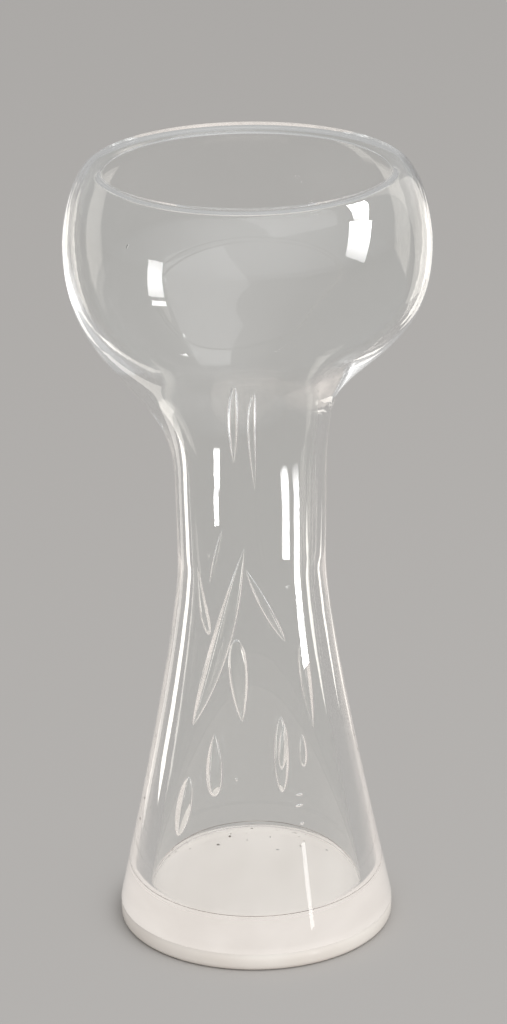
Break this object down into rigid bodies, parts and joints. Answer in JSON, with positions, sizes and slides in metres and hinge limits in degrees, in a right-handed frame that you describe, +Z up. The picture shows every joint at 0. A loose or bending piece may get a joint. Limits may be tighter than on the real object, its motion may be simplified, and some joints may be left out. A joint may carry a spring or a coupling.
{
  "type": "blown glass vase",
  "caption": "Clear blown glass vase: a wide bowl with an in-turned lip on a narrow neck, a flared skirt with air drops in its wall, and a white glass foot.",
  "frame": {"origin": "centre of the foot's flat underside", "axes": "+Z up along the vase's axis, -Y towards the front, +X to the right seen from the front"},
  "size_m": [0.1804, 0.1804, 0.4],
  "materials": {
    "clear_glass": "fire-polished clear glass with a hand-blown waviness",
    "white_glass": "glossy opaque white glass"
  },
  "bodies": {
    "root": {"white_foot": "white_glass", "outer_casing": "clear_glass", "inner_gather": "clear_glass"}
  },
  "joints": []
}
